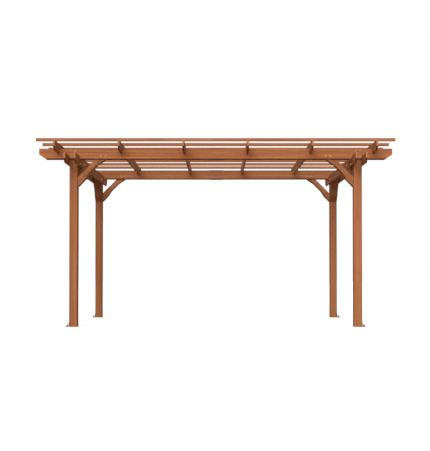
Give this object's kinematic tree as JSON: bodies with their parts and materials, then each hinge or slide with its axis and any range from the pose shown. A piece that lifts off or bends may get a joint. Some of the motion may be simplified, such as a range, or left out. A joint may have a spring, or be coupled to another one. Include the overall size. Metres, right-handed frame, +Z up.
{
  "type": "pergola",
  "caption": "Free-standing stained cedar pergola: square posts, paired header planks and side beams with sloping tails, curved gussets, and an open roof of rafters under square purlins.",
  "frame": {"origin": "on the floor, midway between the posts", "axes": "+X along the headers to the right, +Y from the front to the back, +Z up"},
  "size_m": [4.267, 3.048, 2.251],
  "materials": {
    "stained_cedar": "stained, matt",
    "dark_plate_steel": "dark, matt",
    "zinc_bracket_steel": "zinc plated"
  },
  "bodies": {
    "root": {"post_front_left": "stained_cedar", "post_front_right": "stained_cedar", "post_back_left": "stained_cedar", "post_back_right": "stained_cedar", "header_front_outer": "stained_cedar", "header_front_inner": "stained_cedar", "header_back_inner": "stained_cedar", "header_back_outer": "stained_cedar", "side_left_outer": "stained_cedar", "side_left_inner": "stained_cedar", "side_right_inner": "stained_cedar", "side_right_outer": "stained_cedar", "rafter_1": "stained_cedar", "rafter_2": "stained_cedar", "rafter_3": "stained_cedar", "rafter_4": "stained_cedar", "rafter_5": "stained_cedar", "rafter_6": "stained_cedar", "purlin_1": "stained_cedar", "purlin_2": "stained_cedar", "purlin_3": "stained_cedar", "purlin_4": "stained_cedar", "purlin_5": "stained_cedar", "purlin_6": "stained_cedar", "purlin_7": "stained_cedar", "purlin_8": "stained_cedar", "gusset_header_front_left": "stained_cedar", "gusset_header_front_right": "stained_cedar", "gusset_header_back_left": "stained_cedar", "gusset_header_back_right": "stained_cedar", "gusset_side_front_left": "stained_cedar", "gusset_side_front_right": "stained_cedar", "gusset_side_back_left": "stained_cedar", "gusset_side_back_right": "stained_cedar", "plates_header_front": "dark_plate_steel", "plates_header_back": "dark_plate_steel", "plates_side_left": "dark_plate_steel", "plates_side_right": "dark_plate_steel", "plates_rafters": "dark_plate_steel", "bracket_front_left": "zinc_bracket_steel", "bracket_front_right": "zinc_bracket_steel", "bracket_back_left": "zinc_bracket_steel", "bracket_back_right": "zinc_bracket_steel"}
  },
  "joints": []
}
